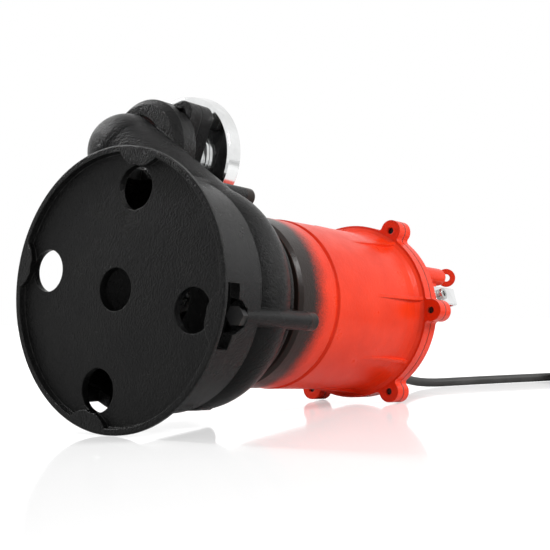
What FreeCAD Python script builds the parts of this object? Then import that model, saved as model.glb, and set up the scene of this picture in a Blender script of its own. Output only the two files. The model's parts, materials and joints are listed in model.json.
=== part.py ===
import FreeCAD, Part
import math
import os

V = FreeCAD.Vector

# Every size is in millimetres. The pump is built standing on its foot ring: the axis is
# local +Z, the foot ring's front face is z = 0, and the motor is above it. At the end each
# solid is laid down into the shared frame, where the pump rests on its foot ring and on
# two lugs of the motor flange, with the axis along +X.

# ---- driving sizes -------------------------------------------------------------------
FOOT_R = 100.0                 # outer radius of the foot ring
MOTOR_R = 69.3                 # radius of the motor barrel above its groove
FLANGE_Z = 302.0               # front face of the motor's top flange
LUG_CIRCLE = 82.0              # radius of the circle the six flange lugs sit on
LUG_R = 9.5
BOLT_CIRCLE = 81.0             # radius of the circle the four casing bolts sit on
COLUMN_R = 7.0                 # radius of the columns and ears round those bolts
BOLT_TURN = 12.5               # angle of the first casing bolt and water hole, degrees
STATOR_R = 65.0
OUTLET_X, OUTLET_Y = 70.4, 122.6   # axis of the outlet, measured from the pump's axis
OUTLET_BORE = 25.0
EAR_TURN = 138.5               # direction of the outlet flange's two ears, degrees
EAR_OFFSET = 40.8              # outlet axis to ear bolt
CABLE_D = 9.0
SLEEVE_R = CABLE_D / 2 + 1.5     # outside of the rubber sleeve in the cable gland

# ---- named fits ----------------------------------------------------------------------
RUN_FIT = 0.08                 # radial play where one piece turns on another
AIR_GAP = 0.5                  # radial gap between rotor and stator
FACE_PLAY = 0.05               # axial play between the sliding seal faces
BOLT_PLAY = 0.3                # radial play of a bolt in a clearance hole

# ---- heights of the joints along the axis ----------------------------------------------
STAND_TOP = 55.0
VOLUTE_TOP = 114.0
CHAMBER_TOP = 118.0
EAR_TOP = 126.5                # end of the motor housing's four ears
SEAM_Z = FLANGE_Z + 9.5
GASKET_T = 1.0
COVER_Z = SEAM_Z + GASKET_T
TORUS_R, TORUS_Z, TORUS_MINOR = 61.0, 84.5, 24.0

# ---- attitude at rest -------------------------------------------------------------------
FOOT_EDGE = 3.4                # end of the foot ring's widest band
LUG_DROP = LUG_CIRCLE * math.cos(math.radians(30)) + LUG_R


# ---- small helpers ----------------------------------------------------------------------
def at(radius, angle, z=0.0):
    turn = math.radians(angle)
    return V(radius * math.cos(turn), radius * math.sin(turn), z)


def cyl(radius, z0, z1, x=0.0, y=0.0):
    return Part.makeCylinder(radius, z1 - z0, V(x, y, z0))


def cyl_at(radius, z0, z1, circle, angle):
    spot = at(circle, angle)
    return cyl(radius, z0, z1, spot.x, spot.y)


def tube(outer, inner, z0, z1, x=0.0, y=0.0):
    return cyl(outer, z0, z1, x, y).cut(cyl(inner, z0 - 1, z1 + 1, x, y))


def turned(outline):
    """Solid of revolution about the local axis from (radius, z) corners."""
    points = [V(r, 0, z) for r, z in outline]
    face = Part.Face(Part.makePolygon(points + points[:1]))
    return face.revolve(V(0, 0, 0), V(0, 0, 1), 360)


def prism(corners, z0, z1):
    points = [V(x, y, z0) for x, y in corners]
    return Part.Face(Part.makePolygon(points + points[:1])).extrude(V(0, 0, z1 - z0))


def block(x0, x1, y0, y1, z0, z1):
    return Part.makeBox(x1 - x0, y1 - y0, z1 - z0, V(x0, y0, z0))


def turn_z(shape, angle):
    copy = shape.copy()
    copy.rotate(V(0, 0, 0), V(0, 0, 1), angle)
    return copy


def ring_of(shape, count, first=0.0):
    return [turn_z(shape, first + 360.0 * i / count) for i in range(count)]


def join(shapes):
    first, rest = shapes[0], list(shapes[1:])
    return first.fuse(rest).removeSplitter() if rest else first


def hexagon(across, z0, z1, x=0.0, y=0.0):
    corner = across / math.sqrt(3)
    return prism([(x + corner * math.cos(math.radians(60 * i)),
                   y + corner * math.sin(math.radians(60 * i))) for i in range(6)], z0, z1)


def hex_bolt(x, y, seat_z, length, thread_r, across, head_h, down=False):
    """Bolt along the axis: the head stands on seat_z, the shank runs away from it."""
    if down:
        return join([hexagon(across, seat_z, seat_z + head_h, x, y),
                     cyl(thread_r, seat_z - length, seat_z, x, y)])
    return join([hexagon(across, seat_z - head_h, seat_z, x, y),
                 cyl(thread_r, seat_z, seat_z + length, x, y)])


def oval(z0, z1, grow=0.0):
    """Two-ear flange outline: a round middle with one ear each way."""
    middle, ear = 30.0 + grow, 10.0 + grow
    lean = math.acos((middle - ear) / EAR_OFFSET)
    shapes = [cyl(middle, z0, z1)]
    for side in (0.0, math.pi):
        turn = math.radians(EAR_TURN) + side
        ex, ey = EAR_OFFSET * math.cos(turn), EAR_OFFSET * math.sin(turn)
        shapes.append(cyl(ear, z0, z1, ex, ey))
        low, high = turn - lean, turn + lean
        corners = [(middle * math.cos(low), middle * math.sin(low)),
                   (ex + ear * math.cos(low), ey + ear * math.sin(low)),
                   (ex + ear * math.cos(high), ey + ear * math.sin(high)),
                   (middle * math.cos(high), middle * math.sin(high))]
        shapes.append(prism(corners, z0, z1))
    body = join(shapes)
    body.translate(V(OUTLET_X, OUTLET_Y, 0))
    return body


def ear_spots():
    spots = []
    for side in (0.0, 180.0):
        spot = at(EAR_OFFSET, EAR_TURN + side)
        spots.append((OUTLET_X + spot.x, OUTLET_Y + spot.y))
    return spots


def lugged_disc(z0, z1, radius):
    """Round flange with six rounded lugs, its inner corners filleted."""
    shapes = [cyl(radius, z0, z1)] + [cyl_at(LUG_R, z0, z1, LUG_CIRCLE, 60 * i) for i in range(6)]
    body = join(shapes)
    corner_edges = []
    for edge in body.Edges:
        low, high = edge.BoundBox.ZMin, edge.BoundBox.ZMax
        upright = edge.BoundBox.XLength < 0.01 and edge.BoundBox.YLength < 0.01
        if upright and high - low > 0.5 * (z1 - z0):
            middle = edge.CenterOfMass
            if math.hypot(middle.x, middle.y) < radius + 0.2:
                corner_edges.append(edge)
    return body.makeFillet(3.0, corner_edges)


# ---- foot stand ---------------------------------------------------------------------------
def base_stand():
    plate_back = 9.6
    body = turned([(0, 2.8), (94.6, 4.6), (95.6, 0), (FOOT_R - 0.8, 0), (FOOT_R, 0.8), (FOOT_R, FOOT_EDGE),
                   (93, 7.5), (89.2, 13), (88.2, 34.2), (87.2, 35), (86.4, STAND_TOP),
                   (80.5, STAND_TOP), (80.5, plate_back), (0, plate_back)])
    pad = cyl(22, 0.0, 6.0, 108, 0).common(cyl(97, -1, 7))
    body = join([body] + ring_of(pad, 4, BOLT_TURN))
    ear = cyl(11, 42, STAND_TOP, BOLT_CIRCLE, 0).common(cyl(86.0, 40, 60))
    ear = ear.fuse(cyl(COLUMN_R, 42, STAND_TOP, BOLT_CIRCLE, 0))
    body = join([body] + ring_of(ear, 4, BOLT_TURN))
    window = block(64, 110, -22.5, 22.5, plate_back, 30)
    arch = Part.makeCylinder(12, 46, V(64, 0, 30), V(1, 0, 0))
    cuts = ring_of(window.fuse(arch), 4, BOLT_TURN)
    cuts += [cyl_at(15.5, -1, 20, 71.5, BOLT_TURN + 90 * i) for i in range(4)]
    cuts += [cyl_at(4 + BOLT_PLAY, 30, 60, BOLT_CIRCLE, BOLT_TURN + 90 * i) for i in range(4)]
    cuts += [cyl_at(9.0, 20, 42, BOLT_CIRCLE, BOLT_TURN + 90 * i) for i in range(4)]
    cuts.append(cyl(15.2, -1, 20))
    return body.cut(cuts)


def bolt_ear(inner, z0, z1):
    """One ear round a casing bolt, reaching in to the radius inner."""
    return join([cyl(COLUMN_R, z0, z1, BOLT_CIRCLE, 0), block(inner, BOLT_CIRCLE, -5.5, 5.5, z0, z1)])


# ---- wet end -------------------------------------------------------------------------------
def suction_cover():
    body = turned([(28, 50), (65, 50), (65, STAND_TOP), (57.8, STAND_TOP), (57.8, 60),
                   (34, 60), (28, 57)])
    return body.cut([cyl_at(2 + BOLT_PLAY, 40, 61, 61.5, BOLT_TURN + 45 + 90 * i) for i in range(4)])


def suction_screws():
    return [hex_bolt(*at(61.5, BOLT_TURN + 45 + 90 * i)[:2], 50, 12, 2, 6.5, 2.8) for i in range(4)]


def outlet_path():
    """Centre of the outlet elbow and the point where its tangent pipe leaves the volute."""
    elbow = V(71.3, 115.7, 83.0)
    reach = math.hypot(elbow.x, elbow.y)
    heading = math.atan2(elbow.y, elbow.x) - math.asin(60.0 / reach)
    start = V(-60.0 * math.sin(heading), 60.0 * math.cos(heading), TORUS_Z)
    return start, elbow


def volute_casing():
    start, elbow = outlet_path()
    run = elbow.sub(start)
    shell = join([turned([(0, STAND_TOP), (86.4, STAND_TOP), (86.4, 56.5), (80, 59), (70, 70), (0, 70)]),
                  Part.makeTorus(TORUS_R, TORUS_MINOR, V(0, 0, TORUS_Z)),
                  turned([(0, 98), (70, 98), (72.2, 107), (72.2, 110), (71.4, 110.6), (72.2, 111.2),
                          (72.2, VOLUTE_TOP), (0, VOLUTE_TOP)]),
                  Part.makeCone(23, 30.5, run.Length, start, run), Part.makeSphere(31, elbow)])
    channel = Part.makeCone(17.5, 24, run.Length, start, run).fuse(Part.makeSphere(24.5, elbow))
    shell = shell.cut(cyl(58, STAND_TOP - 1, 103).fuse(
        Part.makeTorus(TORUS_R, TORUS_MINOR - 5.5, V(0, 0, TORUS_Z))))
    shell = shell.cut(channel)
    drum = Part.makeCone(35, 40, 6, V(64.4, 120.7, 92)).fuse(cyl(40, 98, 112, 64.4, 120.7))
    mouth = drum.fuse(oval(112, 124.5)).cut(channel)
    mouth = mouth.cut(cyl(OUTLET_BORE, 84, 130, OUTLET_X, OUTLET_Y))
    mouth = mouth.cut([cyl(4, 105, 130, x, y) for x, y in ear_spots()])
    column = cyl(COLUMN_R, STAND_TOP, VOLUTE_TOP, BOLT_CIRCLE, 0).fuse(
        block(68, BOLT_CIRCLE, -5.5, 5.5, 101, VOLUTE_TOP))
    columns = ring_of(column, 4, BOLT_TURN)
    body = shell.fuse(columns)
    cuts = [cyl(54, 100, 120), cyl(OUTLET_BORE, elbow.z, 130, OUTLET_X, OUTLET_Y)]
    cuts += [cyl_at(4 + BOLT_PLAY, 50, 120, BOLT_CIRCLE, BOLT_TURN + 90 * i) for i in range(4)]
    cuts += [cyl_at(2, 50, 68, 61.5, BOLT_TURN + 45 + 90 * i) for i in range(4)]
    return body.cut(cuts).fuse(mouth)


def casing_bolts():
    return [hex_bolt(*at(BOLT_CIRCLE, BOLT_TURN + 90 * i)[:2], 42, 83, 4, 13, 5.3) for i in range(4)]


def impeller():
    hub = turned([(7, 70), (13, 70), (15, 92), (48, 92), (48, 94.5), (17, 98), (7, 98)])
    shapes = [hub]
    for blade in range(6):
        outer_arc = Part.makeCylinder(34, 24, V(0, 0, 69))
        wall = outer_arc.cut(Part.makeCylinder(30.5, 26, V(0, 0, 68)))
        wall.translate(V(30, -14, 0))
        wall = wall.common(cyl(47.5, 69, 93)).cut(cyl(12, 60, 99)).common(block(-60, 60, -12, 60, 60, 99))
        wall = wall.common(block(-60, 40, -60, 60, 60, 99))
        shapes.append(turn_z(wall, 60 * blade))
    body = join(shapes)
    return body.cut([cyl(7, 60, 99), block(5, 9.2, -2, 2, 74, 99)])


def impeller_key():
    return block(5, 9.2, -2, 2, 76, 96)


def impeller_washer():
    return tube(9.5, 5, 68, 70)


def impeller_nut():
    return hexagon(16, 61.5, 68).cut(cyl(5, 60, 70))


# ---- seals and oil chamber ------------------------------------------------------------------
def oil_chamber():
    body = turned([(19, 106), (53.9, 106), (53.9, 108.4), (50.8, 108.4), (50.8, 112), (53.9, 112),
                   (53.9, VOLUTE_TOP), (60, VOLUTE_TOP), (60, CHAMBER_TOP), (46, CHAMBER_TOP),
                   (46, 112), (25, 112), (25, 116.5), (19, 116.5)])
    body = join([body] + ring_of(bolt_ear(50, VOLUTE_TOP, CHAMBER_TOP), 4, BOLT_TURN))
    return body.cut([cyl_at(4 + BOLT_PLAY, 100, 130, BOLT_CIRCLE, BOLT_TURN + 90 * i) for i in range(4)])


def chamber_o_ring():
    return Part.makeTorus(52.4, 1.6, V(0, 0, 110.2))


def seal_seat():
    return turned([(10.4, 107), (19, 107), (19, 112.5), (17, 114), (10.4, 114)])


def seal_rotating():
    return turned([(9.5, 98), (15, 98), (15, 103), (13.6, 104), (13.6, 107 - FACE_PLAY),
                   (10.6, 107 - FACE_PLAY), (10.6, 104.5), (9.5, 104.5)])


def oil_seal():
    return turned([(10.5, CHAMBER_TOP), (13.5, CHAMBER_TOP), (13.5, 129.6), (9.5 + RUN_FIT, 129.6),
                   (9.5 + RUN_FIT, 128.4), (10.5, 127.4)])


# ---- motor -----------------------------------------------------------------------------------
def rib():
    corners = [V(MOTOR_R - 2, 0, 236), V(MOTOR_R + 0.4, 0, 236), V(MOTOR_R + 4.4, 0, 296),
               V(MOTOR_R + 6.5, 0, FLANGE_Z + 1), V(MOTOR_R - 2, 0, FLANGE_Z + 1)]
    face = Part.Face(Part.makePolygon(corners + corners[:1]))
    body = face.extrude(V(0, 3.2, 0))
    body.translate(V(0, -1.6, 0))
    return body


def motor_housing():
    outline = [(13.5, CHAMBER_TOP), (62, CHAMBER_TOP), (62, 126), (66.6, 128), (MOTOR_R - 0.8, 132),
               (MOTOR_R - 0.8, 175.6), (MOTOR_R - 2.2, 176.6), (MOTOR_R - 2.2, 179), (MOTOR_R, 180.2),
               (MOTOR_R + 0.8, 286), (MOTOR_R + 1.8, 294), (MOTOR_R + 3.7, 299.5),
               (MOTOR_R + 6.4, FLANGE_Z), (MOTOR_R + 6.4, SEAM_Z), (67, SEAM_Z), (67, 297),
               (STATOR_R, 297), (STATOR_R, 150), (60, 136), (32, 136), (32, 145), (26, 145),
               (26, 130), (13.5, 130)]
    flange = lugged_disc(FLANGE_Z, SEAM_Z, 77.5).cut(cyl(70, 290, 330))
    ears = ring_of(bolt_ear(55, CHAMBER_TOP, EAR_TOP), 4, BOLT_TURN)
    body = join([turned(outline), flange] + ears + ring_of(rib().cut(cyl(68, 200, 320)), 8, 37.5))
    cuts = [cyl_at(4, 110, EAR_TOP - 1, BOLT_CIRCLE, BOLT_TURN + 90 * i) for i in range(4)]
    cuts += [cyl_at(3, 300, 320, LUG_CIRCLE, 60 * i) for i in range(6)]
    return body.cut(cuts)


def stator_core():
    body = tube(STATOR_R, 37.5, 180, 265)
    return body.cut([cyl_at(3.6, 170, 280, 50, 15 * i) for i in range(24)])


def stator_windings():
    lower = turned([(43, 163), (58, 161), (60, 165), (60, 178), (56, 180), (44, 180), (42, 177), (42, 165)])
    upper = turned([(42, 268), (44, 265), (56, 265), (60, 267), (60, 280), (58, 284), (43, 282), (42, 280)])
    return join([lower, upper] + [cyl_at(3.6, 179, 266, 50, 15 * i) for i in range(24)])


def rotor_core():
    return tube(37.5 - AIR_GAP, 12, 180, 265)


def rotor_end_rings():
    return [tube(36, 20, 172, 180), tube(36, 20, 265, 273)]


def motor_shaft():
    body = turned([(0, 59.5), (4, 59.5), (5, 60.5), (5, 70), (7, 70), (7, 98), (9.5, 98), (9.5, 129.8),
                   (12.5, 130), (12.5, 145), (14, 145), (14, 174), (12, 174), (12, 274), (11, 274),
                   (11, 291), (10, 291), (10, 306), (9, 307), (0, 307)])
    return body.cut(block(5, 9.2, -2, 2, 76, 96))


def bearing(bore, outer, ball, balls, z0, width):
    """Deep-groove ball bearing: outer ring, inner ring and the balls between them."""
    pitch = (bore + outer) / 2
    wall = (outer - bore) * 0.28
    groove = Part.makeTorus(pitch, ball + 0.02, V(0, 0, z0 + width / 2))
    rings = [tube(outer, outer - wall, z0, z0 + width).cut(groove),
             tube(bore + wall, bore, z0, z0 + width).cut(groove)]
    spheres = [Part.makeSphere(ball, at(pitch, 360.0 * i / balls, z0 + width / 2)) for i in range(balls)]
    return rings[0], rings[1], spheres


def upper_bracket():
    body = turned([(12, 309), (12, 305), (23.5, 305), (23.5, 291), (28.5, 291), (28.5, 297), (67, 297),
                   (67, 303), (28.5, 303), (28.5, 309)])
    return body.cut([cyl_at(2.4, 290, 310, 50, -90 + 8 * i) for i in (-1, 0, 1)])


def lead_wires():
    return [cyl_at(1.2, 283, 312, 50, -90 + 8 * i) for i in (-1, 0, 1)]


def terminal_block():
    body = block(-20, 20, -58, -40, 312, 322)
    lips = [block(x - 1, x + 1, -56, -42, 322, 325) for x in (-16, -5.5, 5.5, 16)]
    foot = [block(-20, -14, -54, -40, 303, 312), block(14, 20, -54, -40, 303, 312)]
    return join([body] + lips + foot)


def capacitor():
    body = Part.makeCylinder(15, 62, V(-31, 18, 326.5), V(1, 0, 0))
    cap = Part.makeCylinder(4, 3, V(31, 18, 326.5), V(1, 0, 0))
    return join([body, cap])


def capacitor_clip():
    shell = Part.makeCylinder(16.2, 14, V(-7, 18, 326.5), V(1, 0, 0))
    shell = shell.cut(Part.makeCylinder(15, 16, V(-8, 18, 326.5), V(1, 0, 0)))
    shell = shell.cut(block(-10, 10, 0, 40, 335, 348))
    feet = [block(-7, 7, 32.5, 42, 303, 304.5), block(-7, 7, 33.05, 34.2, 303, 327),
            block(-7, 7, 29, 34.2, 303, 304.5)]
    return join([shell] + feet)


# ---- top cover ----------------------------------------------------------------------------------
HANDLE_TURN = 164.3
POST_X, POST_Y = -50.0, 34.4
GLAND_X, GLAND_Y = 30.0, -45.0
GLAND_Z = 355.0                 # top of the cable boss on the cover


def top_cover():
    dome = turned([(66.8, 303.1), (66.8, COVER_Z), (72, COVER_Z), (72, 321), (69, 322.5), (66, 327),
                   (54, 345), (38, 355), (20, 360.5), (0, 362), (0, 357), (18.5, 355.6), (35.5, 350.4),
                   (50, 341.5), (60.5, 325.8), (62, 320), (62, 303.1)])
    flange = lugged_disc(COVER_Z, COVER_Z + 8.5, 77.5).cut(cyl(68, 300, 330))
    outer = [dome, flange, cyl(8, 322, 372, POST_X, POST_Y), cyl(15, 322, GLAND_Z, GLAND_X, GLAND_Y)]
    for side in (0, 180):
        outer.append(turn_z(block(38, 60, -8, 8, 322, 367), HANDLE_TURN + side))
    outer.append(block(POST_X - 4.5, POST_X + 7, 10, POST_Y, 322, 362))
    body = join(outer)
    inside = turned([(0, 303), (62, 303), (62, 320), (60.5, 325.8), (50, 341.5), (35.5, 350.4),
                     (18.5, 355.6), (0, 357)])
    cuts = [inside, cyl(9, 300, GLAND_Z + 1, GLAND_X, GLAND_Y), cyl(4, 358, 373, POST_X, POST_Y)]
    cuts += [cyl_at(3 + BOLT_PLAY, 300, 330, LUG_CIRCLE, 60 * i) for i in range(6)]
    for side in (0, 180):
        cuts.append(turn_z(Part.makeCylinder(3, 30, V(46, 0, 359), V(1, 0, 0)), HANDLE_TURN + side))
    return body.cut(cuts)


def cover_gasket():
    return lugged_disc(SEAM_Z, COVER_Z, 77.3).cut(
        [cyl(67.2, 300, 330)] + [cyl_at(3 + BOLT_PLAY, 300, 330, LUG_CIRCLE, 60 * i) for i in range(6)])


def cover_screws():
    screws = []
    for i in range(6):
        spot = at(LUG_CIRCLE, 60 * i)
        screws.append(hex_bolt(spot.x, spot.y, COVER_Z + 8.5, 16.5, 3, 10, 4.2, down=True))
    return screws


def handle_strap():
    corners = [(-63, 350), (-63, 388), (-60, 391), (60, 391), (63, 388), (63, 350), (60, 350),
               (60, 386.5), (58.5, 388), (-58.5, 388), (-60, 386.5), (-60, 350)]
    points = [V(x, -7.5, z) for x, z in corners]
    body = Part.Face(Part.makePolygon(points + points[:1])).extrude(V(0, 15, 0))
    body = body.cut(Part.makeCylinder(3 + BOLT_PLAY, 140, V(-70, 0, 359), V(1, 0, 0)))
    return turn_z(body, HANDLE_TURN)


def handle_screws():
    screw = Part.makeCylinder(3, 15, V(48, 0, 359), V(1, 0, 0)).fuse(
        Part.makeCylinder(5.2, 4, V(63, 0, 359), V(1, 0, 0)))
    screw = screw.cut(hex_socket())
    return [turn_z(screw, HANDLE_TURN + side) for side in (0, 180)]


def hex_socket():
    socket = hexagon(5, 0, 3)
    socket.rotate(V(0, 0, 0), V(0, 1, 0), 90)
    socket.translate(V(65, 0, 359))
    return socket


def lifting_eye():
    sight = V(0.468, 0.081, 0.88)
    centre = V(POST_X - 1, POST_Y + 0.6, 388)
    eye = Part.makeCylinder(8.5, 3.2, centre.sub(V(sight).multiply(1.6)), sight)
    neck = Part.makeCylinder(3.4, 11, V(POST_X + 3, POST_Y, 374), V(0.12, 0, 1))
    body = join([cyl(4, 359, 372, POST_X, POST_Y), cyl(7.4, 372, 375, POST_X, POST_Y), neck, eye])
    return body.cut(Part.makeCylinder(3.4, 12, centre.sub(V(sight).multiply(6)), sight))


def gland_body():
    body = join([cyl(9, GLAND_Z - 12, GLAND_Z, GLAND_X, GLAND_Y),
                 hexagon(24, GLAND_Z, GLAND_Z + 6, GLAND_X, GLAND_Y),
                 cyl(9.5, GLAND_Z + 6, GLAND_Z + 16, GLAND_X, GLAND_Y)])
    return body.cut(cyl(SLEEVE_R, GLAND_Z - 20, GLAND_Z + 20, GLAND_X, GLAND_Y))


def gland_nut():
    body = hexagon(22, GLAND_Z + 6, GLAND_Z + 14, GLAND_X, GLAND_Y).fuse(
        Part.makeCone(10.9, 8, 7, V(GLAND_X, GLAND_Y, GLAND_Z + 14)))
    return body.cut([cyl(9.5, GLAND_Z + 5, GLAND_Z + 16, GLAND_X, GLAND_Y),
                     cyl(SLEEVE_R, GLAND_Z + 10, GLAND_Z + 23, GLAND_X, GLAND_Y)])


def gland_seal():
    return tube(SLEEVE_R, CABLE_D / 2, GLAND_Z - 6, GLAND_Z + 16, GLAND_X, GLAND_Y)


def cable_boot():
    foot = GLAND_Z + 16
    body = join([cyl(SLEEVE_R, foot, foot + 5, GLAND_X, GLAND_Y),
                 Part.makeCone(7.6, CABLE_D / 2 + 0.9, 22, V(GLAND_X, GLAND_Y, foot + 5))])
    return body.cut(cyl(CABLE_D / 2, foot - 5, foot + 40, GLAND_X, GLAND_Y))


# ---- outlet fittings -------------------------------------------------------------------------------
def outlet_gasket():
    return oval(124.5, 125.5, -0.3).cut(
        [cyl(OUTLET_BORE, 120, 130, OUTLET_X, OUTLET_Y)] + [cyl(4.5, 120, 130, x, y) for x, y in ear_spots()])


def outlet_adapter():
    body = oval(125.5, 138)
    return body.cut([cyl(27.5, 120, 140, OUTLET_X, OUTLET_Y)] +
                    [cyl(4 + BOLT_PLAY, 120, 140, x, y) for x, y in ear_spots()])


def outlet_bolts():
    return [hex_bolt(x, y, 138, 24, 4, 13, 5.3, down=True) for x, y in ear_spots()]


def outlet_nipple():
    body = turned([(23, 126), (27.5, 126), (27.5, 143.4), (31, 143.4), (31, 146.7), (27.5, 146.7),
                   (27.5, 156.3), (33, 156.3), (33, 160), (23, 160)])
    body.translate(V(OUTLET_X, OUTLET_Y, 0))
    return body


def union_collar():
    body = turned([(27.5 + RUN_FIT, 147), (49.4, 147), (51, 148.6), (52.8, 160), (51.6, 161.4),
                   (40, 161.4), (36.5, 156), (27.5 + RUN_FIT, 156)])
    body.translate(V(OUTLET_X, OUTLET_Y, 0))
    return body


# ---- laying the pump down ---------------------------------------------------------------------------
SHIFT_X, SHIFT_Y = -194.369, -11.6    # the pump's foot centre in the shared frame


def rest_attitude():
    """Tilt of the axis and height of its foot end, so that the foot ring and the outer
    ends of the two lowest lugs all reach the floor."""
    lug_end = COVER_Z + 8.5
    tilt = math.atan2(FOOT_R - LUG_DROP, lug_end - FOOT_EDGE)
    return tilt, FOOT_R * math.cos(tilt) + FOOT_EDGE * math.sin(tilt)


def rest_placement():
    tilt, height = rest_attitude()
    axis = V(math.cos(tilt), 0, -math.sin(tilt))
    up = V(math.sin(tilt), 0, math.cos(tilt))
    return FreeCAD.Placement(FreeCAD.Matrix(0, up.x, axis.x, SHIFT_X,
                                            1, up.y, axis.y, SHIFT_Y,
                                            0, up.z, axis.z, height,
                                            0, 0, 0, 1))


def lay_down(shape):
    copy = shape.copy()
    copy.Placement = rest_placement().multiply(copy.Placement)
    return copy


# ---- cord ---------------------------------------------------------------------------------------------
COIL_X, COIL_Y = SHIFT_X + 643.6, SHIFT_Y - 141.2
COIL_R = 54.0                   # middle of the wound turns
WIND = CABLE_D + 0.2            # from one turn to the next
TURNS_ACROSS, LAYERS = 3.25, 4
COIL_W = TURNS_ACROSS * WIND + CABLE_D
COIL_H = (LAYERS - 1) * WIND + CABLE_D
LIE = CABLE_D / 2
OUTER_TURN = COIL_R + TURNS_ACROSS * WIND / 2
JOIN_ANGLE, LEAVE_ANGLE = 59.0, -76.0   # where the two ends meet the coil, degrees
PLUG_R = 18.0


def frame_point(x, y, z):
    """A point of the standing pump, in the shared frame."""
    return rest_placement().multVec(V(x, y, z))


def cord_tube(route, name):
    """Round cord of straight runs joined by tangent arcs through the route's corners."""
    edges, last = [], route[0]
    for before, corner, after in zip(route, route[1:], route[2:]):
        back, ahead = before.sub(corner), after.sub(corner)
        half = (math.pi - back.getAngle(ahead)) / 2
        trim = 0.45 * min(back.Length, ahead.Length)
        back.normalize()
        ahead.normalize()
        radius = trim / math.tan(half)
        print(name, "bend radius", round(radius, 1), "turn", round(math.degrees(2 * half)))
        inward = (back + ahead).normalize()
        middle = corner + inward * (radius / math.cos(half) - radius)
        edges.append(Part.LineSegment(last, corner + back * trim).toShape())
        edges.append(Part.Arc(corner + back * trim, middle, corner + ahead * trim).toShape())
        last = corner + ahead * trim
    edges.append(Part.LineSegment(last, route[-1]).toShape())
    path = Part.Wire(edges)
    start = Part.Wire([Part.Circle(route[0], route[1].sub(route[0]), LIE).toShape()])
    body = path.makePipeShell([start], True, False)
    print(name, "length", round(path.Length, 1), "volume ratio",
          round(body.Volume / (math.pi * LIE ** 2 * path.Length), 4))
    return body


def beside(x, y, z):
    """A point given from the foot centre: x along the pump, y across it, z above the floor."""
    return V(SHIFT_X + x, SHIFT_Y + y, z)


def off_coil(angle, run, height):
    """A point beside the coil's outer turn: run millimetres along its tangent at an angle."""
    turn = math.radians(angle)
    return V(COIL_X + OUTER_TURN * math.cos(turn) + run * math.sin(turn),
             COIL_Y + OUTER_TURN * math.sin(turn) - run * math.cos(turn), height)


def main_route():
    return [frame_point(GLAND_X, GLAND_Y, GLAND_Z - 9), frame_point(GLAND_X, GLAND_Y, GLAND_Z + 69),
            beside(462, 36, LIE), beside(549.5, -4.6, LIE), off_coil(JOIN_ANGLE, -29, LIE)]


def tail_route():
    top = COIL_H - LIE
    return [off_coil(LEAVE_ANGLE, 29, top), off_coil(LEAVE_ANGLE, 65, top),
            V(COIL_X - 84, COIL_Y - 88, PLUG_R), V(COIL_X - 122, COIL_Y - 90, PLUG_R)]


def power_cord():
    return cord_tube(main_route(), "power_cord")


def plug_cord():
    return cord_tube(tail_route(), "plug_cord")


def cord_coil():
    corner, half = 7.0, COIL_W / 2
    body = turned([(COIL_R - half + corner, 0), (COIL_R + half - corner, 0), (COIL_R + half, corner),
                   (COIL_R + half, COIL_H - corner), (COIL_R + half - corner, COIL_H),
                   (COIL_R - half + corner, COIL_H), (COIL_R - half, COIL_H - corner),
                   (COIL_R - half, corner)])
    body.translate(V(COIL_X, COIL_Y, 0))
    return body


def cord_ties():
    ties = []
    for angle in (60, 240):
        band = block(COIL_R - COIL_W / 2 - 2.2, COIL_R + COIL_W / 2 + 1.5, -6, 6, 0.0, COIL_H + 1.5)
        band = band.cut(block(COIL_R - COIL_W / 2 - 0.6, COIL_R + COIL_W / 2, -7, 7, -1, COIL_H))
        band = turn_z(band, angle)
        band.translate(V(COIL_X, COIL_Y, 0))
        ties.append(band)
    return ties


def plug_axis():
    route = tail_route()
    return route[-1], route[-1].sub(route[-2]).normalize()


def along_plug(shape):
    """Put a shape built along +Z at the end of the plug's cord."""
    spot, way = plug_axis()
    copy = shape.copy()
    copy.Placement = FreeCAD.Placement(spot, FreeCAD.Rotation(V(0, 0, 1), way)).multiply(copy.Placement)
    return copy


def plug_body():
    shapes = [Part.makeCone(LIE + 1.2, 9, 32, V(0, 0, -24)), cyl(15, 8, 18).fuse(cyl(PLUG_R, 18, 40))]
    body = join(shapes).cut(cyl(LIE, -30, 2))
    return along_plug(body)


def plug_pins():
    pins = [cyl(2.4, 40, 59, x, 0) for x in (-9.5, 9.5)]
    return [along_plug(pin) for pin in pins]


# ---- writing the pieces ----------------------------------------------------------------------------------
def pump_pieces():
    lower = bearing(12.5, 26, 3.9, 9, 130, 15)
    upper = bearing(10, 23.5, 3.9, 8, 291, 14)
    return {
        "base_stand": base_stand(), "suction_cover": suction_cover(), "suction_screws": suction_screws(),
        "volute_casing": volute_casing(), "casing_bolts": casing_bolts(),
        "impeller": impeller(), "impeller_key": impeller_key(), "impeller_washer": impeller_washer(),
        "impeller_nut": impeller_nut(), "oil_chamber": oil_chamber(), "chamber_o_ring": chamber_o_ring(),
        "seal_seat": seal_seat(), "seal_rotating": seal_rotating(), "oil_seal": oil_seal(),
        "motor_housing": motor_housing(), "stator_core": stator_core(),
        "stator_windings": stator_windings(), "rotor_core": rotor_core(),
        "rotor_end_rings": rotor_end_rings(), "motor_shaft": motor_shaft(),
        "bearing_outer_rings": [lower[0], upper[0]], "bearing_inner_rings": [lower[1], upper[1]],
        "bearing_balls": lower[2] + upper[2], "upper_bracket": upper_bracket(),
        "lead_wires": lead_wires(), "terminal_block": terminal_block(), "capacitor": capacitor(),
        "capacitor_clip": capacitor_clip(), "top_cover": top_cover(), "cover_gasket": cover_gasket(),
        "cover_screws": cover_screws(), "handle_strap": handle_strap(), "handle_screws": handle_screws(),
        "lifting_eye": lifting_eye(), "gland_body": gland_body(), "gland_nut": gland_nut(),
        "gland_seal": gland_seal(), "cable_boot": cable_boot(), "outlet_gasket": outlet_gasket(),
        "outlet_adapter": outlet_adapter(), "outlet_bolts": outlet_bolts(),
        "outlet_nipple": outlet_nipple(), "union_collar": union_collar(),
    }


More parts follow.
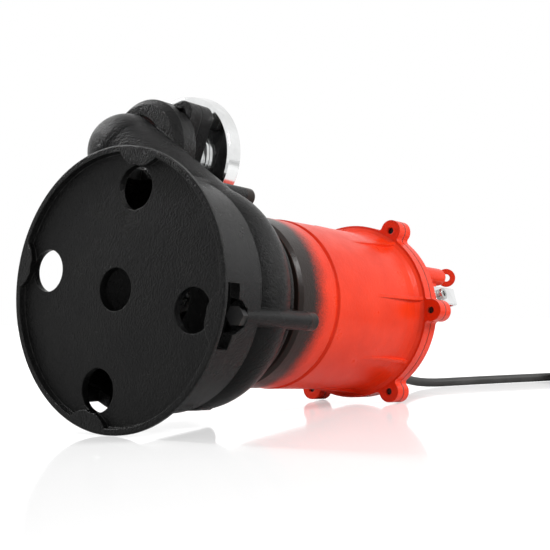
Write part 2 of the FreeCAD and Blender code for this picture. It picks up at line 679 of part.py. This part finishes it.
def floor_pieces():
    return {
        "power_cord": power_cord(), "cord_coil": cord_coil(), "cord_ties": cord_ties(),
        "plug_cord": plug_cord(), "plug_body": plug_body(), "plug_pins": plug_pins(),
    }


def write(name, piece):
    shape = Part.makeCompound(piece) if isinstance(piece, list) else piece
    solids = shape.Solids
    wanted = len(piece) if isinstance(piece, list) else 1
    if len(solids) != wanted or not all(solid.isValid() for solid in solids):
        print("WARNING", name, "solids", len(solids), "wanted", wanted, [s.isValid() for s in solids])
    shape.exportStep(os.path.join("parts", name + ".step"))
    return shape


def main():
    os.makedirs("parts", exist_ok=True)
    pump = {name: [lay_down(s) for s in piece] if isinstance(piece, list) else lay_down(piece)
            for name, piece in pump_pieces().items()}
    shapes = [write(name, piece) for name, piece in pump.items()]
    box = Part.makeCompound(shapes).BoundBox
    print("pump box", [round(v, 3) for v in (box.XMin, box.XMax, box.YMin, box.YMax, box.ZMin, box.ZMax)])
    print("foot centre", frame_point(0, 0, 0), "tilt", math.degrees(rest_attitude()[0]))
    for name, piece in floor_pieces().items():
        write(name, piece)


main()
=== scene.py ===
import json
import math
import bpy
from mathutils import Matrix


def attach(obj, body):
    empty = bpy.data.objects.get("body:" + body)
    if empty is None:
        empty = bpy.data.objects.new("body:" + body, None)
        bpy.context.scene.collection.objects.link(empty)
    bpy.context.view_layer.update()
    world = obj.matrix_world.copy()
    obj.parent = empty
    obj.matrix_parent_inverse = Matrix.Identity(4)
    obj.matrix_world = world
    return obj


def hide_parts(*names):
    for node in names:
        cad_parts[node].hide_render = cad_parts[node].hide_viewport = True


bl_info = {
    "name": "Submersible Sewage Pump",
    "version": (1, 0, 0),
    "blender": (4, 5, 0),
    "location": "3D View > Sidebar > Pump",
    "description": "Paint, castings, cable and studio for a sewage pump lying on its side",
    "category": "Object",
}

import bmesh
import bpy
from mathutils import Matrix, Vector

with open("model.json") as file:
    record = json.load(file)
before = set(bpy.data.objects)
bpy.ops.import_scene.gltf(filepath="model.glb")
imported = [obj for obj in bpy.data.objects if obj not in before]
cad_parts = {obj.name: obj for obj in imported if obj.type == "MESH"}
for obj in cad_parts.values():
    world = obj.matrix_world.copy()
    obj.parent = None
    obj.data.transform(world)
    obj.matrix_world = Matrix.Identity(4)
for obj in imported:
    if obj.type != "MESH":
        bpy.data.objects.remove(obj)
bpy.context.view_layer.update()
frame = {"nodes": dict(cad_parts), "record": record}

MM = 0.001
TURN = 2 * math.pi

# ---- where the pump lies: the middle of its foot, and its own axis, up and across ----------
FOOT = Vector((-0.194369, -0.0116, 0.1000205))
TILT = math.radians(3.510904)
AXIS = Vector((math.cos(TILT), 0, -math.sin(TILT)))
UP = Vector((math.sin(TILT), 0, math.cos(TILT)))
ACROSS = Vector((0, 1, 0))
OUTLET = (70.4, 122.6)
GLAND = (30.0, -45.0, 355.0)


def on_pump(across, up, along):
    """A point of the pump in millimetres: across it, up from its axis, and along from its foot."""
    return FOOT + (ACROSS * across + UP * up + AXIS * along) * MM


# ---- sizes and colours a user may change ------------------------------------------------------
def colour_of(name, value, about):
    return bpy.props.FloatVectorProperty(
        name=name, description=about, subtype="COLOR", size=4, min=0, max=1, default=(*value, 1)
    )


def length_of(name, value, about):
    return bpy.props.FloatProperty(
        name=name, description=about, default=value, min=0.0001, unit="LENGTH"
    )


class PumpPaint(bpy.types.PropertyGroup):
    black: colour_of("Black", (0.0042, 0.0042, 0.0044), "Paint of the wet end's castings")
    red: colour_of("Red", (0.88, 0.042, 0.007), "Paint of the motor and its cover")
    soot: colour_of("Overspray", (0.012, 0.006, 0.004), "Black overspray on the motor's lower end")
    spray_start: length_of("Overspray start", 0.147, "Along the pump, where the black is full")
    spray_end: length_of("Overspray end", 0.167, "Along the pump, where the last black ends")
    rubber: colour_of("Rubber", (0.030, 0.030, 0.029), "Cable and boot")
    steel: colour_of("Polished steel", (0.86, 0.87, 0.87), "Union, nipple and handle")


class PumpCable(bpy.types.PropertyGroup):
    diameter: length_of("Diameter", 0.009, "Outside of the cable")
    length: length_of("Length", 5.0, "From the gland to the plug")
    pitch: length_of("Turn pitch", 0.0092, "From one wound turn to the next")
    middle: length_of("Coil radius", 0.054, "Middle of the wound turns")


class PumpStudio(bpy.types.PropertyGroup):
    key: bpy.props.FloatProperty(
        name="Key lamp", description="Lamp over the near side of the motor", default=12.0, min=0, unit="POWER"
    )
    fill: bpy.props.FloatProperty(
        name="Rim lamp", description="Lamp behind and over the outlet", default=8.0, min=0, unit="POWER"
    )
    around: bpy.props.FloatProperty(
        name="Room light", description="Level of the pale room", default=0.34, min=0, max=2
    )
    floor: colour_of("Floor", (0.86, 0.86, 0.86), "Pale glossy table")


# ---- node helpers ----------------------------------------------------------------------------------
def link(tree, source, target):
    tree.links.new(source, target)


def node(tree, kind, **values):
    made = tree.nodes.new(kind)
    for key, value in values.items():
        setattr(made, key, value)
    return made


def maths(tree, operation, first, second=None, clamp=False):
    made = node(tree, "ShaderNodeMath", operation=operation, use_clamp=clamp)
    for socket, value in zip(made.inputs, (first, second)):
        if isinstance(value, bpy.types.NodeSocket):
            link(tree, value, socket)
        elif value is not None:
            socket.default_value = value
    return made.outputs[0]


def vector_maths(tree, operation, first, second, output=0):
    made = node(tree, "ShaderNodeVectorMath", operation=operation)
    for socket, value in zip(made.inputs, (first, second)):
        if isinstance(value, bpy.types.NodeSocket):
            link(tree, value, socket)
        elif value is not None:
            socket.default_value = value
    return made.outputs[output]


def remap(tree, value, low, high, to_low, to_high, smooth=False):
    made = node(tree, "ShaderNodeMapRange")
    if smooth:
        made.interpolation_type = "SMOOTHSTEP"
    link(tree, value, made.inputs["Value"])
    for name, number in (("From Min", low), ("From Max", high), ("To Min", to_low), ("To Max", to_high)):
        if isinstance(number, bpy.types.NodeSocket):
            link(tree, number, made.inputs[name])
        else:
            made.inputs[name].default_value = number
    return made.outputs["Result"]


def mixed(tree, mask, first, second):
    made = node(tree, "ShaderNodeMix", data_type="RGBA")
    colours = [s for s in made.inputs if s.type == "RGBA"]
    link(tree, mask, made.inputs["Factor"])
    for socket, value in zip(colours, (first, second)):
        if isinstance(value, bpy.types.NodeSocket):
            link(tree, value, socket)
        else:
            socket.default_value = value
    return [s for s in made.outputs if s.type == "RGBA"][0]


def noise(tree, where, scale, detail=3.0, rough=0.55):
    made = node(tree, "ShaderNodeTexNoise")
    link(tree, where, made.inputs["Vector"])
    if isinstance(scale, bpy.types.NodeSocket):
        link(tree, scale, made.inputs["Scale"])
    else:
        made.inputs["Scale"].default_value = scale
    made.inputs["Detail"].default_value = detail
    made.inputs["Roughness"].default_value = rough
    return made.outputs["Fac"]


def group(name, inputs, outputs):
    """A new shader node group with its named sockets; gives the tree, its inputs and its end node."""
    tree = bpy.data.node_groups.new(name, "ShaderNodeTree")
    for title, kind, value in inputs:
        socket = tree.interface.new_socket(name=title, in_out="INPUT", socket_type=kind)
        socket.default_value = value
    for title, kind in outputs:
        tree.interface.new_socket(name=title, in_out="OUTPUT", socket_type=kind)
    return tree, tree.nodes.new("NodeGroupInput").outputs, tree.nodes.new("NodeGroupOutput").inputs


FLOAT, VECTOR = "NodeSocketFloat", "NodeSocketVector"


# ---- effects shared by the finishes -------------------------------------------------------------------
def casting_skin_group():
    """Sand-cast skin under paint: grains, shallow waves and a few pits."""
    tree, given, out = group(
        "Casting Skin",
        [("Grain", FLOAT, 900.0), ("Wave", FLOAT, 90.0), ("Waviness", FLOAT, 0.3), ("Pits", FLOAT, 0.3)],
        [("Height", FLOAT), ("Blotch", FLOAT)],
    )
    where = node(tree, "ShaderNodeTexCoord").outputs["Object"]
    grain = noise(tree, where, given["Grain"], 4.0, 0.6)
    wave = noise(tree, where, given["Wave"], 3.0)
    cells = node(tree, "ShaderNodeTexVoronoi")
    link(tree, where, cells.inputs["Vector"])
    cells.inputs["Scale"].default_value = 260.0
    pit = remap(tree, cells.outputs["Distance"], 0.05, 0.22, 1.0, 0.0, smooth=True)
    rare = remap(tree, noise(tree, where, 55.0), 0.55, 0.68, 0.0, 1.0)
    holes = maths(tree, "MULTIPLY", maths(tree, "MULTIPLY", pit, rare), given["Pits"])
    bumps = maths(tree, "ADD", grain, maths(tree, "MULTIPLY", wave, given["Waviness"]))
    link(tree, maths(tree, "SUBTRACT", bumps, holes), out["Height"])
    link(tree, noise(tree, where, 34.0, 5.0, 0.65), out["Blotch"])
    return tree


def edge_rub_group():
    """Mask of the outside edges, where hands and sand have rubbed the finish."""
    tree, given, out = group(
        "Edge Rub", [("Radius", FLOAT, 0.001), ("Breakup", FLOAT, 180.0)], [("Mask", FLOAT)]
    )
    bevel = node(tree, "ShaderNodeBevel", samples=4)
    link(tree, given["Radius"], bevel.inputs["Radius"])
    face = node(tree, "ShaderNodeNewGeometry").outputs["Normal"]
    same = vector_maths(tree, "DOT_PRODUCT", bevel.outputs[0], face, "Value")
    edge = remap(tree, same, 0.80, 0.97, 1.0, 0.0)
    where = node(tree, "ShaderNodeTexCoord").outputs["Object"]
    broken = remap(tree, noise(tree, where, given["Breakup"], 4.0), 0.42, 0.62, 0.0, 1.0)
    link(tree, maths(tree, "MULTIPLY", edge, broken, clamp=True), out["Mask"])
    return tree


def spray_border_group():
    """Soft speckled border of sprayed paint, measured along a line from a point."""
    tree, given, out = group(
        "Spray Border",
        [("Origin", VECTOR, (0, 0, 0)), ("Direction", VECTOR, (1, 0, 0)),
         ("Start", FLOAT, 0.0), ("End", FLOAT, 0.02)],
        [("Mask", FLOAT)],
    )
    where = node(tree, "ShaderNodeTexCoord").outputs["Object"]
    away = vector_maths(tree, "SUBTRACT", where, given["Origin"])
    along = vector_maths(tree, "DOT_PRODUCT", away, given["Direction"], "Value")
    drift = maths(tree, "MULTIPLY", maths(tree, "SUBTRACT", noise(tree, where, 26.0), 0.5), 0.018)
    speck = maths(tree, "MULTIPLY", maths(tree, "SUBTRACT", noise(tree, where, 900.0, 2.0), 0.5), 0.016)
    place = maths(tree, "ADD", along, maths(tree, "ADD", drift, speck))
    link(tree, remap(tree, place, given["Start"], given["End"], 1.0, 0.0, smooth=True), out["Mask"])
    return tree


def turned_lines_group():
    """Fine rings left by the lathe and the polishing wheel, round a line through a point."""
    tree, given, out = group(
        "Turned Lines",
        [("Origin", VECTOR, (0, 0, 0)), ("Direction", VECTOR, (1, 0, 0)), ("Lines", FLOAT, 2200.0)],
        [("Height", FLOAT)],
    )
    where = node(tree, "ShaderNodeTexCoord").outputs["Object"]
    away = vector_maths(tree, "SUBTRACT", where, given["Origin"])
    along = vector_maths(tree, "DOT_PRODUCT", away, given["Direction"], "Value")
    radius = vector_maths(tree, "CROSS_PRODUCT", away, given["Direction"])
    reach = vector_maths(tree, "LENGTH", radius, None, "Value")
    place = node(tree, "ShaderNodeCombineXYZ")
    link(tree, reach, place.inputs["X"])
    link(tree, along, place.inputs["Y"])
    link(tree, noise(tree, place.outputs[0], given["Lines"], 2.0), out["Height"])
    return tree


def brushed_group():
    """Long fine scratches along one direction of the piece."""
    tree, given, out = group(
        "Brushed", [("Stretch", VECTOR, (40.0, 1500.0, 1500.0))], [("Height", FLOAT), ("Tone", FLOAT)]
    )
    where = node(tree, "ShaderNodeTexCoord").outputs["Object"]
    long = vector_maths(tree, "MULTIPLY", where, given["Stretch"])
    link(tree, noise(tree, long, 1.0, 3.0), out["Height"])
    link(tree, noise(tree, where, 60.0, 4.0), out["Tone"])
    return tree


GROUPS = {}


def placed(tree, name, **values):
    """A shared effect placed in a material with its own values."""
    builders = {
        "Casting Skin": casting_skin_group, "Edge Rub": edge_rub_group,
        "Spray Border": spray_border_group, "Turned Lines": turned_lines_group,
        "Brushed": brushed_group,
    }
    if name not in GROUPS:
        GROUPS[name] = builders[name]()
    made = node(tree, "ShaderNodeGroup", node_tree=GROUPS[name])
    for title, value in values.items():
        made.inputs[title].default_value = value
    return made.outputs


# ---- finishes --------------------------------------------------------------------------------------------
def shader_of(name, metallic=0.0, coat=0.0, coat_rough=0.1, specular=0.5):
    material = bpy.data.materials.new(name)
    material.use_nodes = True
    tree = material.node_tree
    tree.nodes.clear()
    shader = node(tree, "ShaderNodeBsdfPrincipled")
    shader.inputs["Metallic"].default_value = metallic
    shader.inputs["Coat Weight"].default_value = coat
    shader.inputs["Coat Roughness"].default_value = coat_rough
    shader.inputs["Specular IOR Level"].default_value = specular
    end = node(tree, "ShaderNodeOutputMaterial")
    link(tree, shader.outputs[0], end.inputs["Surface"])
    return material, tree, shader


def raise_bumps(tree, shader, height, depth, strength, radius):
    """Bumps over edges that are rounded by radius, in metres."""
    bevel = node(tree, "ShaderNodeBevel", samples=6)
    bevel.inputs["Radius"].default_value = radius
    bump = node(tree, "ShaderNodeBump")
    bump.inputs["Strength"].default_value = strength
    bump.inputs["Distance"].default_value = depth
    link(tree, height, bump.inputs["Height"])
    link(tree, bevel.outputs[0], bump.inputs["Normal"])
    link(tree, bump.outputs[0], shader.inputs["Normal"])


def cast_black(paint):
    """Satin black paint over sand-cast iron, worn a little grey on its edges."""
    material, tree, shader = shader_of("cast_black", specular=0.13)
    skin = placed(tree, "Casting Skin", Grain=640.0, Wave=110.0, Waviness=0.45, Pits=0.7)
    dusty = mixed(tree, remap(tree, skin["Blotch"], 0.38, 0.75, 0.0, 0.6), paint.black, (0.014, 0.014, 0.013, 1))
    rub = placed(tree, "Edge Rub", Radius=0.0009, Breakup=220.0)["Mask"]
    worn = mixed(tree, maths(tree, "MULTIPLY", rub, 0.6), dusty, (0.11, 0.108, 0.102, 1))
    link(tree, worn, shader.inputs["Base Color"])
    link(tree, remap(tree, skin["Blotch"], 0.3, 0.7, 0.17, 0.30), shader.inputs["Roughness"])
    raise_bumps(tree, shader, skin["Height"], 0.0011, 0.8, 0.0013)
    return material


def cast_red(paint):
    """Semi-gloss red paint over the motor castings, black overspray at the lower end."""
    material, tree, shader = shader_of("cast_red", coat=0.03, coat_rough=0.1, specular=0.2)
    skin = placed(tree, "Casting Skin", Grain=480.0, Wave=60.0, Waviness=0.5, Pits=0.3)
    deep = [c * f for c, f in zip(paint.red[:3], (0.84, 0.7, 0.7))] + [1]
    base = mixed(tree, remap(tree, skin["Blotch"], 0.35, 0.7, 0.0, 0.8), paint.red, deep)
    spray = placed(tree, "Spray Border", Origin=FOOT, Direction=AXIS, Start=paint.spray_start,
                   End=paint.spray_end)["Mask"]
    sprayed = mixed(tree, spray, base, paint.soot)
    rub = placed(tree, "Edge Rub", Radius=0.0008, Breakup=260.0)["Mask"]
    link(tree, mixed(tree, maths(tree, "MULTIPLY", rub, 0.35), sprayed, (0.62, 0.10, 0.045, 1)),
         shader.inputs["Base Color"])
    link(tree, remap(tree, skin["Blotch"], 0.3, 0.7, 0.26, 0.38), shader.inputs["Roughness"])
    raise_bumps(tree, shader, skin["Height"], 0.00045, 0.5, 0.0012)
    return material


def polished(name, paint, round_line=None):
    """Polished steel: lathe rings on a turned piece, wheel marks on a bent one."""
    material, tree, shader = shader_of(name, metallic=1.0)
    marks = placed(tree, "Brushed", Stretch=(1400.0, 60.0, 1400.0))
    if round_line:
        height = placed(tree, "Turned Lines", Origin=round_line, Direction=AXIS, Lines=1900.0)["Height"]
    else:
        height = marks["Height"]
    tone = mixed(tree, remap(tree, marks["Tone"], 0.35, 0.7, 0.0, 0.4), paint.steel, (0.50, 0.50, 0.49, 1))
    link(tree, tone, shader.inputs["Base Color"])
    link(tree, remap(tree, marks["Tone"], 0.3, 0.7, 0.07, 0.17), shader.inputs["Roughness"])
    raise_bumps(tree, shader, height, 0.00004, 0.35, 0.0006)
    return material


def metal(name, bright, dull, rough, stretch=(500.0, 500.0, 500.0), depth=0.00008):
    """Plain machined or plated metal with fine marks and dull patches."""
    material, tree, shader = shader_of(name, metallic=1.0)
    marks = placed(tree, "Brushed", Stretch=stretch)
    patches = mixed(tree, remap(tree, marks["Tone"], 0.38, 0.66, 0.0, 1.0), (*bright, 1), (*dull, 1))
    link(tree, patches, shader.inputs["Base Color"])
    link(tree, remap(tree, marks["Height"], 0.3, 0.7, rough - 0.07, rough + 0.08), shader.inputs["Roughness"])
    raise_bumps(tree, shader, marks["Height"], depth, 0.4, 0.0004)
    return material


def moulded(name, colour, dusty, rough, depth, grain=1500.0, specular=0.4):
    """Rubber or plastic with its moulded grain and a little dust."""
    material, tree, shader = shader_of(name, specular=specular)
    skin = placed(tree, "Casting Skin", Grain=grain, Wave=200.0, Pits=0.0)
    link(tree, mixed(tree, remap(tree, skin["Blotch"], 0.4, 0.75, 0.0, 1.0), (*colour[:3], 1), (*dusty, 1)),
         shader.inputs["Base Color"])
    link(tree, remap(tree, skin["Blotch"], 0.3, 0.7, rough - 0.07, rough + 0.07), shader.inputs["Roughness"])
    raise_bumps(tree, shader, skin["Height"], depth, 0.45, 0.0004)
    return material


def finish(slot):
    """The finish of a material slot, built once."""
    known = bpy.data.materials.get("finish_" + slot)
    if known:
        return known
    paint = bpy.context.scene.pump_paint
    outlet_line = on_pump(*OUTLET, 150)
    made = {
        "cast_black": lambda: cast_black(paint),
        "cast_red": lambda: cast_red(paint),
        "polished_steel": lambda: polished("polished", paint, outlet_line),
        "strap_steel": lambda: polished("strap", paint),
        "zinc_steel": lambda: metal("zinc", (0.50, 0.50, 0.47), (0.33, 0.32, 0.28), 0.38),
        "stainless": lambda: metal("stainless", (0.60, 0.60, 0.59), (0.46, 0.46, 0.45), 0.26),
        "black_oxide": lambda: metal("oxide", (0.035, 0.035, 0.036), (0.06, 0.058, 0.055), 0.42),
        "plain_steel": lambda: metal("steel", (0.50, 0.50, 0.50), (0.38, 0.37, 0.36), 0.30),
        "raw_iron": lambda: metal("iron", (0.16, 0.155, 0.15), (0.10, 0.08, 0.065), 0.6, depth=0.0004),
        "lamination": lambda: metal("laminations", (0.22, 0.23, 0.25), (0.15, 0.155, 0.17), 0.45,
                                    stretch=(2000.0, 30.0, 30.0), depth=0.0002),
        "copper": lambda: metal("copper", (0.62, 0.24, 0.11), (0.42, 0.14, 0.06), 0.34,
                                stretch=(700.0, 700.0, 700.0), depth=0.0003),
        "plain_aluminium": lambda: metal("aluminium", (0.66, 0.66, 0.67), (0.52, 0.52, 0.53), 0.42),
        "bearing_steel": lambda: metal("bearing", (0.68, 0.68, 0.69), (0.60, 0.60, 0.61), 0.14, depth=0.00003),
        "brass_pins": lambda: metal("brass", (0.70, 0.48, 0.20), (0.58, 0.37, 0.14), 0.26),
        "seal_rubber": lambda: moulded("seal", (0.020, 0.020, 0.020), (0.035, 0.035, 0.034), 0.6, 0.0002),
        "cord_rubber": lambda: moulded("cable", paint.rubber, (0.068, 0.068, 0.066), 0.5, 0.00018),
        "dark_plastic": lambda: moulded("plastic", (0.028, 0.028, 0.029), (0.045, 0.045, 0.044), 0.42, 0.0001),
        "seal_ceramic": lambda: moulded("ceramic", (0.78, 0.76, 0.70), (0.66, 0.64, 0.58), 0.22, 0.00003),
    }[slot]()
    made.name = "finish_" + slot
    return made


SLOTS = {s["node"]: s["material_slot"] for s in frame["record"]["subparts"]}


def dress(names, slot=None):
    """Give CAD nodes the finish of their slot."""
    for name in names:
        mesh = frame["nodes"][name].data
        mesh.materials.clear()
        mesh.materials.append(finish(slot or SLOTS[name]))


# ---- cable -----------------------------------------------------------------------------------------------
STEPS_A_TURN = 16
LAYER_STEPS, CLIMB_STEPS, LAYERS = 52, 2, 4
COIL = Vector((0.449231, -0.1528, 0.0))
JOIN_ANGLE = math.radians(59)


def beside(along, across, height):
    """A point on the floor in millimetres from the foot's middle."""
    return Vector((FOOT.x + along * MM, FOOT.y + across * MM, height * MM))


def way_to_coil():
    return [on_pump(GLAND[0], GLAND[1], 346), on_pump(GLAND[0], GLAND[1], 424),
            beside(462, 36, 4.5), beside(549.5, -4.6, 4.5), COIL + Vector((10.7, 74.0, 4.5)) * MM]


def wound_turns(cable):
    """Turns of the put-away cable: each layer runs across the coil, then climbs to the next."""
    half = LAYER_STEPS / STEPS_A_TURN * cable.pitch / 2
    outer_first = [cable.middle + half, cable.middle - half]
    points, angle = [], JOIN_ANGLE
    for layer in range(LAYERS):
        start, end = outer_first if layer % 2 == 0 else outer_first[::-1]
        height = cable.diameter / 2 + layer * cable.pitch
        steps = LAYER_STEPS + (CLIMB_STEPS if layer < LAYERS - 1 else 0)
        for step in range(steps):
            share = min(step / LAYER_STEPS, 1)
            climb = max(step - LAYER_STEPS, 0) / CLIMB_STEPS * cable.pitch
            reach = (start + (end - start) * share) / math.cos(math.pi / STEPS_A_TURN)
            points.append(COIL + Vector((reach * math.cos(angle), reach * math.sin(angle), height + climb)))
            angle -= TURN / STEPS_A_TURN
    return points


def way_to_plug():
    return [COIL + Vector(p) * MM for p in ((-46.4, -82.6, 32.1), (-84, -88, 18), (-122, -90, 18))]


class PUMP_OT_cable(bpy.types.Operator):
    """Lay the cable from the gland to its tied coil and plug"""

    bl_idname = "pump.cable"
    bl_label = "Cable"

    def execute(self, context):
        cable = context.scene.pump_cable
        curve = bpy.data.curves.new("supply_cable", "CURVE")
        curve.dimensions = "3D"
        curve.bevel_depth = cable.diameter / 2
        curve.bevel_resolution = 5
        curve.resolution_u = 8
        curve.use_fill_caps = True
        route = way_to_coil() + wound_turns(cable) + way_to_plug()
        spline = curve.splines.new("NURBS")
        spline.points.add(len(route) - 1)
        for point, place in zip(spline.points, route):
            point.co = (*place, 1)
        spline.order_u = 3
        spline.use_endpoint_u = True
        curve.materials.append(finish("cord_rubber"))
        piece = bpy.data.objects.new("supply_cable", curve)
        context.scene.collection.objects.link(piece)
        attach(piece, "pump")
        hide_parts("power_cord", "cord_coil", "plug_cord")
        dress(["plug_body", "plug_pins", "cord_ties", "cable_boot", "lead_wires"])
        return {"FINISHED"}


# ---- pump ---------------------------------------------------------------------------------------------------
class PUMP_OT_wet_end(bpy.types.Operator):
    """Paint the foot, the volute and the oil chamber, and finish what is in them"""

    bl_idname = "pump.wet_end"
    bl_label = "Wet end"

    def execute(self, context):
        dress(["base_stand", "suction_cover", "volute_casing", "oil_chamber", "suction_screws",
               "casing_bolts", "impeller", "impeller_key", "impeller_washer", "impeller_nut",
               "chamber_o_ring", "seal_seat", "seal_rotating", "oil_seal"])
        return {"FINISHED"}


class PUMP_OT_motor(bpy.types.Operator):
    """Paint the motor housing and finish the motor inside it"""

    bl_idname = "pump.motor"
    bl_label = "Motor"

    def execute(self, context):
        dress(["motor_housing", "stator_core", "stator_windings", "rotor_core", "rotor_end_rings",
               "motor_shaft", "bearing_outer_rings", "bearing_inner_rings", "bearing_balls",
               "upper_bracket", "terminal_block", "capacitor", "capacitor_clip"])
        return {"FINISHED"}


class PUMP_OT_cover(bpy.types.Operator):
    """Paint the cover and its eye, and finish the handle, gland and screws"""

    bl_idname = "pump.cover"
    bl_label = "Cover and handle"

    def execute(self, context):
        dress(["top_cover", "lifting_eye", "cover_gasket", "cover_screws", "handle_screws",
               "gland_body", "gland_nut", "gland_seal"])
        dress(["handle_strap"], "strap_steel")
        return {"FINISHED"}


class PUMP_OT_outlet(bpy.types.Operator):
    """Finish the outlet's flange, bolts, nipple and union"""

    bl_idname = "pump.outlet"
    bl_label = "Outlet"

    def execute(self, context):
        dress(["outlet_gasket", "outlet_adapter", "outlet_bolts", "outlet_nipple", "union_collar"])
        return {"FINISHED"}


# ---- stage -----------------------------------------------------------------------------------------------------
def lamp(name, place, aim, size, power):
    data = bpy.data.lights.new(name, "AREA")
    data.size = size
    data.energy = power
    made = bpy.data.objects.new(name, data)
    made.location = place
    made.rotation_euler = (Vector(aim) - Vector(place)).to_track_quat("-Z", "Y").to_euler()
    bpy.context.scene.collection.objects.link(made)


def white_to_the_eye(tree):
    """1 for rays from the camera, off a mirror or through glass, else 0."""
    path = node(tree, "ShaderNodeLightPath").outputs
    seen = maths(tree, "ADD", path["Is Camera Ray"], path["Is Glossy Ray"])
    return maths(tree, "ADD", seen, path["Is Transmission Ray"], clamp=True)


def pale_room(level):
    world = bpy.data.worlds.new("room")
    bpy.context.scene.world = world
    world.use_nodes = True
    tree = world.node_tree
    background = tree.nodes["Background"]
    background.inputs["Color"].default_value = (1, 1, 1, 1)
    link(tree, remap(tree, white_to_the_eye(tree), 0.0, 1.0, level, 1.0), background.inputs["Strength"])


def table_top(colour):
    """Pale glossy table that the camera sees as nearly white, with the pump's shadow."""
    mesh = bpy.data.meshes.new("table")
    form = bmesh.new()
    bmesh.ops.create_grid(form, x_segments=8, y_segments=8, size=6)
    form.to_mesh(mesh)
    form.free()
    material, tree, shader = shader_of("table_top", specular=0.12)
    where = node(tree, "ShaderNodeTexCoord").outputs["Object"]
    cloud = noise(tree, where, 3.0)
    paler = [min(c * 1.03, 1) for c in colour[:3]] + [1]
    link(tree, mixed(tree, cloud, colour, paler), shader.inputs["Base Color"])
    link(tree, remap(tree, cloud, 0.3, 0.7, 0.05, 0.09), shader.inputs["Roughness"])
    shader.inputs["Emission Color"].default_value = (1, 1, 1, 1)
    path = node(tree, "ShaderNodeLightPath").outputs
    link(tree, maths(tree, "MULTIPLY", path["Is Camera Ray"], 0.42), shader.inputs["Emission Strength"])
    mesh.materials.append(material)
    made = bpy.data.objects.new("table", mesh)
    made.location.z = -0.0003
    bpy.context.scene.collection.objects.link(made)


def eye():
    data = bpy.data.cameras.new("camera")
    data.sensor_width = 36.0
    data.lens = 72.868
    data.clip_start, data.clip_end = 0.01, 50
    made = bpy.data.objects.new("camera", data)
    right = Vector((0.596496, -0.802429, -0.017284))
    up = Vector((-0.015241, -0.032856, 0.999344))
    back = Vector((-0.802471, -0.595841, -0.031827))
    turn = Matrix((right, up, back)).transposed().to_4x4()
    made.matrix_world = Matrix.Translation((-0.74176, -0.55776, 0.08337)) @ turn
    bpy.context.scene.collection.objects.link(made)
    bpy.context.scene.camera = made


class PUMP_OT_stage(bpy.types.Operator):
    """Set the camera, the pale table and the studio lamps"""

    bl_idname = "pump.stage"
    bl_label = "Studio"

    def execute(self, context):
        studio = context.scene.pump_studio
        eye()
        table_top(studio.floor)
        pale_room(studio.around)
        lamp("key_lamp", (0.30, -1.05, 0.85), (0.02, 0.0, 0.1), 0.36, studio.key)
        lamp("rim_lamp", (-0.20, 0.85, 1.0), (-0.08, 0.0, 0.1), 0.26, studio.fill)
        context.scene.view_settings.view_transform = "Standard"
        return {"FINISHED"}


STEPS = (PUMP_OT_stage, PUMP_OT_cable, PUMP_OT_wet_end, PUMP_OT_motor, PUMP_OT_cover, PUMP_OT_outlet)


class PUMP_PT_panel(bpy.types.Panel):
    """Lists the pump's sizes, colours and making steps"""

    bl_label = "Pump"
    bl_idname = "PUMP_PT_panel"
    bl_space_type = "VIEW_3D"
    bl_region_type = "UI"
    bl_category = "Pump"

    def draw(self, context):
        for name, kind in SETTINGS.items():
            box = self.layout.box()
            for key in kind.__annotations__:
                box.prop(getattr(context.scene, name), key)
        for step in STEPS:
            self.layout.operator(step.bl_idname)


SETTINGS = {"pump_paint": PumpPaint, "pump_cable": PumpCable, "pump_studio": PumpStudio}
CLASSES = (*SETTINGS.values(), *STEPS, PUMP_PT_panel)


def register():
    for kind in CLASSES:
        bpy.utils.register_class(kind)
    for name, kind in SETTINGS.items():
        setattr(bpy.types.Scene, name, bpy.props.PointerProperty(type=kind))


def unregister():
    for name in SETTINGS:
        delattr(bpy.types.Scene, name)
    for kind in reversed(CLASSES):
        bpy.utils.unregister_class(kind)


def main():
    register()
    for step in (bpy.ops.pump.stage, bpy.ops.pump.cable, bpy.ops.pump.wet_end, bpy.ops.pump.motor,
                 bpy.ops.pump.cover, bpy.ops.pump.outlet):
        step()


if __name__ == "__main__":
    main()
